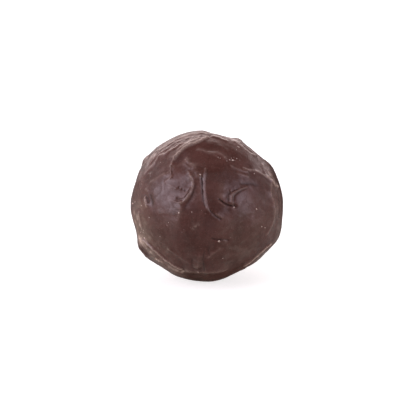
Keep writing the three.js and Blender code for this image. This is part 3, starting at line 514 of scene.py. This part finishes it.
def coatRadius(directions, laid):             # the whole relief, with the masks that the finish uses
    out = slowRadius(directions)
    # the masks carry the painted highlight on crests, painted shade in grooves and spots, and creamy
    # scuffs with painted sheen
    masks = {name: np.zeros(len(directions)) for name in ("crest", "hollowShade", "scuffAndSheen", "shadeSpot")}
    scuffAndSheen = masks["scuffAndSheen"]
    for crease in laid:
        near = nearCrease(directions, crease, ball["creaseMargin"] * max(crease["left"], crease["right"]))
        _, gap, along = alongCrease(directions[near], crease)
        reach = np.where(gap > 0, crease["left"], crease["right"])
        top = ball["crestRound"] + ball["crestWiden"] * crease["breadth"]
        fall = np.exp(-(np.hypot(gap, top) - top) / reach)
        fromEnd = np.minimum(along, crease["length"] - along)
        fadeLength = ball["creaseFade"] + ball["creaseFadeWiden"] * crease["breadth"]
        fade = smoothStep(fromEnd, 0, min(fadeLength, crease["length"] / ball["creaseFadeShare"]))
        turns = along / ball["creaseSwayLength"] * 2 * math.pi + crease["length"] * ball["creaseSwayShift"]
        sway = 1 + ball["creaseSway"] * np.sin(turns) * np.cos(turns * ball["creaseSwayBeat"])
        rise = np.interp(along, (0, crease["length"]), crease["rises"]) * fade * sway
        out[near] += rise * fall
        # a groove gets a line of painted shade, a ridge a paler line of painted highlight
        mask = masks["crest" if crease["rises"][0] > 0 else "hollowShade"]
        width = ball["maskWidth"] + ball["maskWiden"] * crease["breadth"]
        line = np.exp(-((gap / width) ** 2)) * np.minimum(np.abs(rise) / ball["maskFull"], 1)
        mask[near] = np.maximum(mask[near], line * crease["paintShare"])
        scuffAndSheen[near] = np.maximum(scuffAndSheen[near], line * crease["rubbedAndSheen"])
    for right, up, rise, spread in ball["lumps"]:
        swell = roundSpot(directions, right, up, spread)
        out += rise * swell
        # a lump gets a paler painted highlight, a pit painted shade
        mask = masks["crest" if rise > 0 else "hollowShade"]
        np.maximum(mask, swell * min(1, abs(rise) / ball["lumpMaskFull"]), out=mask)
    for mask, spots in (scuffAndSheen, ball["scuffAndSheenSpots"]), (masks["shadeSpot"], ball["shadeSpots"]):
        for right, up, spread, strength in spots:
            np.maximum(mask, strength * roundSpot(directions, right, up, spread), out=mask)
    places = directions * (radius / ball["grainLength"])
    grain = [noise.fractal(Vector(place), *ball["grainFractal"]) for place in places]
    out += ball["grainHeight"] * np.array(grain)
    return out, masks


def meshFrom(shape, name):
    mesh = bpy.data.meshes.new(name)
    shape.to_mesh(mesh)
    shape.free()
    return mesh


def inScene(name, data):
    thing = bpy.data.objects.new(name, data)
    bpy.context.scene.collection.objects.link(thing)
    return thing


def carry(mesh, name, values):                # a value on every corner, which a finish can read
    mesh.attributes.new(name, "FLOAT", "POINT").data.foreach_set("value", np.array(values, np.float32))


def makeBall(laid):
    shape = bmesh.new()
    bmesh.ops.create_cube(shape, size=2)
    bmesh.ops.subdivide_edges(shape, edges=shape.edges[:], cuts=ball["cells"] - 1, use_grid_fill=True)
    mesh = meshFrom(shape, "chocolate_coat")
    corners = np.zeros(len(mesh.vertices) * 3)
    mesh.vertices.foreach_get("co", corners)
    blown = unit(np.tan(corners.reshape(-1, 3) * math.pi / 4))           # cells of even angles
    directions = drawnToCrests(gathered(blown), laid)
    reach, masks = coatRadius(directions, laid)
    places = directions * reach[:, None]
    places[:, 2] = np.maximum(places[:, 2], -restDepth) + restDepth      # the rest spot
    aside = (places[:, :2].min(0) + places[:, :2].max(0)) / 2
    places[:, :2] -= aside
    mesh.vertices.foreach_set("co", (places * mm).ravel())
    for name, values in masks.items():
        carry(mesh, name, values)
    mesh.shade_smooth()
    mesh.update()
    return inScene("chocolate_coat", mesh), Vector((-aside[0], -aside[1], restDepth)) * mm


# crumbs stuck to the coat: right, up, diameter and paleness of those that the face shows
crumbs = {
    "seen": [
        (7.1, 12.1, 0.95, 1.0), (6.3, 12.2, 0.46, 0.9), (5.6, 11.8, 0.34, 0.7), (8.2, 12.5, 0.40, 0.7),
        (6.7, 12.6, 0.40, 0.8), (7.7, 12.0, 0.38, 0.8), (5.0, 12.7, 0.30, 0.6), (9.0, 12.1, 0.30, 0.6),
        (7.4, 12.8, 0.30, 0.5), (3.3, 12.8, 0.38, 0.8), (3.9, 12.6, 0.36, 0.8), (8.6, 15.6, 0.70, 0.8),
        (8.1, 14.8, 0.45, 0.7), (12.8, 8.6, 0.70, 0.9), (-1.5, 8.2, 0.62, 0.9), (7.5, -0.4, 0.60, 0.9),
        (1.4, 1.6, 0.34, 0.4), (13.3, -0.8, 0.62, 0.9), (14.8, -5.4, 0.58, 1.0), (15.6, -5.7, 0.58, 1.0),
        (16.0, -10.8, 0.50, 0.9), (4.5, -13.7, 0.56, 0.8), (3.5, -9.3, 0.80, 1.0),
        (-1.9, -17.1, 0.70, 1.0), (-6.2, -17.3, 0.50, 0.6), (-12.4, -14.5, 0.62, 0.9),
        (-14.6, -12.5, 0.44, 0.8), (-15.7, -11.2, 0.40, 0.8), (-12.5, -11.0, 0.40, 0.5),
        (-16.1, -8.5, 0.70, 1.0), (-16.9, -6.0, 0.55, 1.0), (-16.3, -6.4, 0.48, 0.9),
        (-17.1, -6.9, 0.50, 0.9), (-17.5, -8.1, 0.55, 1.0), (-17.0, -8.4, 0.60, 1.0),
        (-16.4, -7.0, 0.48, 0.9), (-19.0, 1.4, 0.34, 0.8), (-19.2, 0.8, 0.80, 1.0),
        (-18.6, 1.2, 0.70, 1.0), (-16.9, 0.2, 0.56, 1.0), (-16.8, 5.8, 0.44, 0.7),
        (-17.1, 4.5, 0.40, 0.7), (-14.8, -3.0, 0.46, 0.8), (-9.7, -4.3, 0.46, 0.7),
        (-10.1, -5.0, 0.42, 0.6), (-6.9, -1.7, 0.55, 0.8), (-3.6, -1.5, 0.42, 0.6),
        (-1.1, -1.1, 0.36, 0.2), (0.1, -1.9, 0.30, 0.1), (-6.2, -6.8, 0.30, 0.2), (-5.7, -6.2, 0.32, 0.2),
        (-2.3, -5.2, 0.36, 0.2), (-2.8, -5.4, 0.32, 0.2), (-4.0, -5.6, 0.32, 0.2),
        (-3.5, -4.3, 0.30, 0.1), (0.1, -6.8, 0.28, 0.1), (-0.6, -9.3, 0.28, 0.1),
        (-13.6, 12.7, 0.50, 0.8), (-11.9, 11.5, 0.36, 0.5), (4.7, -4.7, 0.30, 0.2),
        (6.6, -8.2, 0.30, 0.2), (17.4, -10.1, 0.60, 1.0), (-12.0, -8.0, 0.40, 0.6),
        (17.4, -5.1, 0.44, 0.8),
    ],
    "strayCount": 240,        # finer ones strewn all over by seeded draws
    "straySeed": 97,
    "straySize": (0.10, 0.26),
    "strayPale": 0.5,         # the palest of them
    "sunk": 0.3,              # share of a crumb's width below the coat
    "squash": 0.6,
    "wide": (0.8, 0.5),       # least share of the diameter, and what a draw adds
    "long": (0.8, 0.3),
    "ragged": 0.4,            # how far apart draws move the corners, as a share of the radius
}


def strewn():                                 # direction, diameter and paleness of every crumb
    for right, up, width, pale in crumbs["seen"]:
        yield faceDirection([(right, up)])[0], width, pale
    draws = seededDraws(crumbs["straySeed"])
    for _ in range(crumbs["strayCount"]):
        way = clockDirection(next(draws) * 2 * math.pi, math.acos(1 - 2 * next(draws)))
        low, high = crumbs["straySize"]
        yield way, low + (high - low) * next(draws) ** 2, next(draws) ** 2 * crumbs["strayPale"]


def makeCrumbs(laid, middle):
    shape = bmesh.new()
    paleness = []
    ways, widths, pales = (np.array(column) for column in zip(*strewn()))
    heights = coatRadius(ways, laid)[0]
    draws = seededDraws(crumbs["straySeed"] + 1)
    for way, width, pale, height in zip(ways, widths, pales, heights):
        place = middle + Vector(way * (height - crumbs["sunk"] * width * crumbs["squash"])) * mm
        if place.z < width * mm / 2:          # none under the rest spot
            continue
        stand = Vector(way).to_track_quat("Z", "Y").to_matrix().to_4x4()
        spin = Matrix.Rotation(next(draws) * 2 * math.pi, 4, "Z")
        wide, long = (least + more * next(draws) for least, more in (crumbs["wide"], crumbs["long"]))
        sizes = Matrix.Diagonal((wide, long, crumbs["squash"], 1))
        made = bmesh.ops.create_icosphere(shape, subdivisions=1, radius=width * mm / 2,
                                          matrix=Matrix.Translation(place) @ stand @ spin @ sizes)
        for corner in made["verts"]:
            corner.co += (corner.co - place) * (next(draws) - 0.5) * crumbs["ragged"]
        paleness += [pale] * len(made["verts"])
    mesh = meshFrom(shape, "coat_crumbs")
    carry(mesh, "pale", paleness)
    mesh.shade_smooth()
    return inScene("coat_crumbs", mesh)


class Wire:                                   # a socket that maths can be written on
    def __init__(self, tree, socket):
        self.tree = tree
        self.socket = socket

    def maths(self, operation, first, second):
        return self.tree.add("ShaderNodeMath", {"operation": operation}, {0: first, 1: second})

    def __add__(self, other):
        return self.maths("ADD", self, other)

    def __rsub__(self, other):
        return self.maths("SUBTRACT", other, self)

    def __mul__(self, other):
        return self.maths("MULTIPLY", self, other)


class Nodes:                                  # a node tree that is wired by name
    def __init__(self, tree):
        self.tree = tree
        tree.nodes.clear()

    def add(self, kind, settings=None, inputs=None, output=0):
        node = self.tree.nodes.new(kind)
        for name, value in (settings or {}).items():
            setattr(node, name, value)
        for name, value in (inputs or {}).items():
            if isinstance(value, Wire):
                self.tree.links.new(value.socket, node.inputs[name])
            else:
                node.inputs[name].default_value = value
        return Wire(self, node.outputs[output]) if node.outputs else node

    def mixColour(self, share, first, second):
        first, second = ((*side, 1) if isinstance(side, tuple) else side for side in (first, second))
        sockets = {0: share, 6: first, 7: second}    # those of a mix of colours, which leaves by socket 2
        return self.add("ShaderNodeMix", {"data_type": "RGBA"}, sockets, 2)

    def ramp(self, value, low, high, start=0.0, end=1.0):
        return self.add("ShaderNodeMapRange", {"interpolation_type": "SMOOTHSTEP"}, {
            "Value": value, "From Min": low, "From Max": high, "To Min": start, "To Max": end})

    def vectors(self, operation, *values, output=0):
        return self.add("ShaderNodeVectorMath", {"operation": operation}, dict(enumerate(values)), output)

    def cone(self, way, middle, rim, full):   # 1 within so many degrees of a way, nought beyond the rim
        facing = self.vectors("DOT_PRODUCT", way, middle, output="Value")
        return self.ramp(facing, math.cos(math.radians(rim)), math.cos(math.radians(full)))

    def grain(self, place, values):
        return self.add("ShaderNodeTexNoise", {}, {"Vector": place, **values})

    def carried(self, name):                  # a value that the mesh carries
        return self.add("ShaderNodeAttribute", {"attribute_name": name}, output="Fac")


def startFinish(name):
    material = bpy.data.materials.new(name)
    material.use_nodes = True
    return material, Nodes(material.node_tree)


chocolate = {
    "dark": (0.0601, 0.0206, 0.0157),
    "light": (0.0897, 0.0332, 0.0266),
    "crest": (0.170, 0.098, 0.082),           # paler chocolate along the crests, a painted highlight that also stands for rubbing; the pale flecks use it too
    # painted shade: the colour laid into grooves and pits, where shade falls
    "hollowShade": (0.020, 0.0060, 0.0050),
    "cream": (0.92, 0.76, 0.64),              # scuffed spots, also a painted sheen and highlights
    "dullShade": (0.075, 0.045, 0.044),            # painted shade spots, without shine
    "dullShadeRoughness": 0.7,
    "ior": 1.45,
    "glossRoughness": 0.22,
    "cloudy": {"Scale": 160, "Detail": 4, "Roughness": 0.6},
    "blotch": {"Scale": 300, "Detail": 4, "Roughness": 0.6, "Distortion": 1.5},    # smeared by handling
    "fine": {"Scale": 2200, "Detail": 3, "Roughness": 0.6},
    # ramps over these three: from and to in the noise, from and to in the value where that isn't 0 to 1
    "lightRamp": (0.35, 0.65),
    "fleckRamp": (0.5, 0.8),
    "scuffAndSheenRamp": (0.15, 0.70),
    "roughnessRamp": (0.3, 0.7, 0.30, 0.42),
    "glossRamp": (0.40, 0.62, 0.05, 0.60),
    "shadeSpotRamp": (0.3, 0.6, 0.6, 1),
    # shares of what the masks and flecks bring
    "fleckShare": 0.45,
    "crestShare": 0.7,
    "hollowShadeShare": 0.8,
    "crestGloss": 0.4,
    "bumpStrength": 0.5,
    "bumpHeight": 0.00013,                    # metres
    "bumpFine": 0.5,                          # share of the fine grain in the bump
}


def chocolateFinish():
    material, nodes = startFinish("dark_chocolate")
    place = nodes.add("ShaderNodeTexCoord", output="Object")
    cloudy, blotch, fine = (nodes.grain(place, chocolate[name]) for name in ("cloudy", "blotch", "fine"))
    crest, hollowShade, scuffAndSheen, shadeSpot = (nodes.carried(name) for name in ("crest", "hollowShade", "scuffAndSheen", "shadeSpot"))
    lighter = nodes.ramp(cloudy, *chocolate["lightRamp"])
    flecks = nodes.ramp(fine, *chocolate["fleckRamp"]) * chocolate["fleckShare"]
    scuffedAndSheen = scuffAndSheen * nodes.ramp(fine, *chocolate["scuffAndSheenRamp"])
    # painted shade: grooves and pits are darkened, and lose their gloss further down
    sunkenShade = hollowShade * chocolate["hollowShadeShare"]
    colour = nodes.mixColour(lighter, chocolate["dark"], chocolate["light"])
    colour = nodes.mixColour(flecks, colour, chocolate["crest"])
    # painted highlight: crests and lumps are lightened towards the crest colour
    colour = nodes.mixColour(crest * chocolate["crestShare"], colour, chocolate["crest"])
    colour = nodes.mixColour(sunkenShade, colour, chocolate["hollowShade"])
    # painted sheen and highlights: creamy scuffs and pale crest lines mixed over the rest
    colour = nodes.mixColour(scuffedAndSheen, colour, chocolate["cream"])
    roughness = nodes.ramp(cloudy, *chocolate["roughnessRamp"])
    patchyGloss = nodes.ramp(blotch, *chocolate["glossRamp"])
    gloss = (patchyGloss + crest * chocolate["crestGloss"]) * (1 - hollowShade)
    bump = nodes.add("ShaderNodeBump", {}, {
        "Strength": chocolate["bumpStrength"], "Distance": chocolate["bumpHeight"],
        "Height": blotch + fine * chocolate["bumpFine"]})
    shiny = nodes.add("ShaderNodeBsdfPrincipled", {}, {
        "Base Color": colour, "Roughness": roughness, "IOR": chocolate["ior"], "Coat Weight": gloss,
        "Coat Roughness": chocolate["glossRoughness"], "Normal": bump})
    # painted shade: a dark finish without shine, mixed in over the shade spots
    dullShadeColour = nodes.mixColour(sunkenShade, chocolate["dullShade"], chocolate["hollowShade"])
    dullShade = nodes.add("ShaderNodeBsdfPrincipled", {}, {
        "Base Color": dullShadeColour, "Roughness": chocolate["dullShadeRoughness"], "Specular IOR Level": 0})
    shadeSpotShare = shadeSpot * nodes.ramp(cloudy, *chocolate["shadeSpotRamp"])
    shader = nodes.add("ShaderNodeMixShader", {}, {0: shadeSpotShare, 1: shiny, 2: dullShade})
    nodes.add("ShaderNodeOutputMaterial", {}, {"Surface": shader})
    return material


crumbFinishes = {
    "brown": (0.110, 0.050, 0.038),
    "cream": (0.64, 0.53, 0.47),
    "roughness": 0.4,
    "grit": {"Scale": 4000, "Detail": 2},
    "gritRamp": (0.2, 0.6, 0.7, 1.0),
}


def crumbFinish():
    material, nodes = startFinish("crumb_chocolate")
    place = nodes.add("ShaderNodeTexCoord", output="Object")
    grit = nodes.grain(place, crumbFinishes["grit"])
    share = nodes.carried("pale") * nodes.ramp(grit, *crumbFinishes["gritRamp"])
    colour = nodes.mixColour(share, crumbFinishes["brown"], crumbFinishes["cream"])
    shader = nodes.add("ShaderNodeBsdfPrincipled", {}, {
        "Base Color": colour, "Roughness": crumbFinishes["roughness"]})
    nodes.add("ShaderNodeOutputMaterial", {}, {"Surface": shader})
    return material


# the studio
studio = {
    "floorSize": 8.0,        # metres, as the overhead light's sizes are
    "floorColour": (0.60, 0.60, 0.60),
    "floorRoughness": 0.9,
    "floorSpecular": 0.1,
    "floorGlow": 0.74,       # lit from below like a light table, so that shadows stay faint
    "lens": 800,             # long, so that the view is as flat as the photo's
    "sensor": 36,
    "frameWidth": 109.9,     # millimetres across the picture at the ball
    "aimRight": 0.63,        # the ball stands a little left of and above the middle of the picture
    "aimUp": -0.48,
    "ambient": (0.29, 0.26, 0.255),    # surroundings where no glow is
    # glows: direction on the world axes, degrees from it at the rim and at the full part, strength, tint
    "glows": {
        "leftKey": ((-0.83, -0.37, 0.41), 36, 6, 2.8, (1.0, 0.86, 1.01)),
        "leftHigh": ((-0.86, 0.25, 0.44), 22, 6, 0.45, (1.0, 0.82, 0.86)),
        "leftSide": ((-0.78, 0.62, 0.10), 26, 8, 0.18, (1.0, 0.82, 0.80)),
        "leftWall": ((-0.92, -0.20, -0.34), 58, 18, 0.42, (1.0, 0.79, 0.69)),
        "leftFloor": ((-0.76, 0.475, -0.44), 25, 8, 0.85, (1.0, 0.77, 0.60)),
        "footGlow": ((-0.42, 0.52, -0.74), 22, 8, 0.30, (1.0, 0.79, 0.64)),
        "rightFill": ((0.85, -0.44, 0.29), 37, 6, 1.45, (1.0, 0.81, 1.00)),
        "rightWall": ((0.88, -0.42, -0.28), 55, 20, 0.40, (1.0, 0.79, 0.64)),
        "rightFloor": ((0.54, 0.07, -0.84), 26, 8, 0.26, (1.0, 0.78, 0.62)),
        "rightFoot": ((0.334, 0.826, -0.454), 18, 7, 0.25, (1.0, 0.80, 0.70)),
        "frontFloor": ((0.10, -0.72, -0.68), 48, 16, 0.07, (1.0, 0.82, 0.70)),
        "back": ((0.00, 0.88, 0.47), 36, 6, 0.70, (1.0, 0.80, 0.76)),
        "backLeft": ((-0.43, 0.75, 0.50), 32, 6, 0.84, (1.0, 0.81, 0.79)),
        "crownShade": ((0.00, 0.20, 0.98), 44, 14, -0.24, (1.0, 0.9, 0.9)),
        "behindShade": ((0.35, 0.93, -0.10), 24, 8, -0.24, (1.0, 0.9, 0.9)),
        "outlineShade": ((-0.05, 0.96, -0.27), 14, 5, -0.24, (1.0, 0.9, 0.9)),
        "footShade": ((0.13, 0.62, -0.77), 30, 13, -0.26, (1.0, 0.9, 0.9)),
        "frontShade": ((0.15, -0.98, 0.05), 42, 10, -0.13, (1.0, 0.86, 0.80)),
    },
    # bands along the horizon: level direction, degrees aside at the rim and at the full part, lowest and
    # highest degrees over the horizon, strength, tint
    "bands": {
        "backLeftWall": ((-0.10, 0.995, 0.00), 30, 14, 9, 20, 1.05, (1.0, 0.81, 0.79)),
        "backLeftLow": ((-0.44, 0.898, 0.00), 17, 8, 7, 13, 1.3, (1.0, 0.82, 0.81)),
        "rightEdge": ((0.788, 0.616, 0.00), 16, 5, -24, 0, 0.5, (1.0, 0.79, 0.70)),
        "backRightWall": ((0.48, 0.87, 0.00), 32, 14, 10, 24, 1.3, (1.0, 0.81, 0.81)),
    },
    "bandSoftness": 5,       # degrees over which a band fades out upwards and downwards
    "overheadWatts": 6.5,
    "overheadSize": 1.6,
    "overheadHeight": 1.2,
}


def makeFloor():
    shape = bmesh.new()
    bmesh.ops.create_grid(shape, x_segments=1, y_segments=1, size=studio["floorSize"] / 2)
    floor = inScene("floor", meshFrom(shape, "floor"))
    material, nodes = startFinish("pale_floor")
    shader = nodes.add("ShaderNodeBsdfPrincipled", {}, {
        "Base Color": (*studio["floorColour"], 1), "Roughness": studio["floorRoughness"],
        "Specular IOR Level": studio["floorSpecular"], "Emission Color": (1, 1, 1, 1),
        "Emission Strength": studio["floorGlow"]})
    nodes.add("ShaderNodeOutputMaterial", {}, {"Surface": shader})
    floor.data.materials.append(material)
    floor.visible_glossy = False              # its white is kept off the chocolate
    floor.visible_diffuse = False


def makeSky():
    world = bpy.data.worlds.new("studio")
    world.use_nodes = True
    nodes = Nodes(world.node_tree)
    way = nodes.add("ShaderNodeTexCoord", output="Generated")
    colour = studio["ambient"]
    for middle, rim, full, strength, tint in studio["glows"].values():
        glow = nodes.cone(way, Vector(middle).normalized(), rim, full) * strength
        colour = nodes.vectors("MULTIPLY_ADD", tint, glow, colour)
    height = nodes.add("ShaderNodeSeparateXYZ", {}, {0: way}, "Z")
    level = nodes.vectors("NORMALIZE", nodes.vectors("MULTIPLY", way, (1, 1, 0)))
    for middle, rim, full, lowest, highest, strength, tint in studio["bands"].values():
        glow = nodes.cone(level, middle, rim, full) * strength
        edges = [math.sin(math.radians(edge + fade)) for edge in (lowest, highest)
                 for fade in (-studio["bandSoftness"], studio["bandSoftness"])]
        glow = glow * nodes.ramp(height, *edges[:2]) * (1 - nodes.ramp(height, *edges[2:]))
        colour = nodes.vectors("MULTIPLY_ADD", tint, glow, colour)
    sky = nodes.add("ShaderNodeBackground", {}, {"Color": colour})
    nodes.add("ShaderNodeOutputWorld", {}, {"Surface": sky})
    world.cycles.sampling_method = "NONE"     # smooth all round, so no part of it is sought out
    bpy.context.scene.world = world


def makeOverhead():
    lamp = bpy.data.lights.new("overhead", "AREA")
    lamp.size = studio["overheadSize"]
    lamp.energy = studio["overheadWatts"]
    light = inScene("overhead", lamp)
    light.location = (0, 0, studio["overheadHeight"])
    light.visible_camera = False
    light.visible_glossy = False              # lights the floor evenly, with no gloss on the ball's crown


def makeCamera(middle):
    right, up, out = (Vector(axis) for axis in faceAxes)
    lens = bpy.data.cameras.new("camera")
    lens.lens = studio["lens"]
    lens.sensor_width = studio["sensor"]
    distance = studio["frameWidth"] * mm * studio["lens"] / studio["sensor"]
    camera = inScene("camera", lens)
    aim = middle + (right * studio["aimRight"] + up * studio["aimUp"]) * mm
    camera.location = aim + out * distance
    camera.rotation_euler = (-out).to_track_quat("-Z", "Y").to_euler()
    bpy.context.scene.camera = camera


creasesLaid = layCreases()
coat, ballMiddle = makeBall(creasesLaid)
coat.data.materials.append(chocolateFinish())
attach(coat, "root")
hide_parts("chocolate_ball")
print("ball made,", len(coat.data.vertices), "corners, middle", ballMiddle)

crumbPiece = makeCrumbs(creasesLaid, ballMiddle)
crumbPiece.data.materials.append(crumbFinish())
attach(crumbPiece, "root")
print("crumbs strewn,", len(crumbPiece.data.polygons), "faces")

makeCamera(ballMiddle)
makeFloor()
makeSky()
makeOverhead()
bpy.context.scene.view_settings.view_transform = "Standard"
print("studio ready")
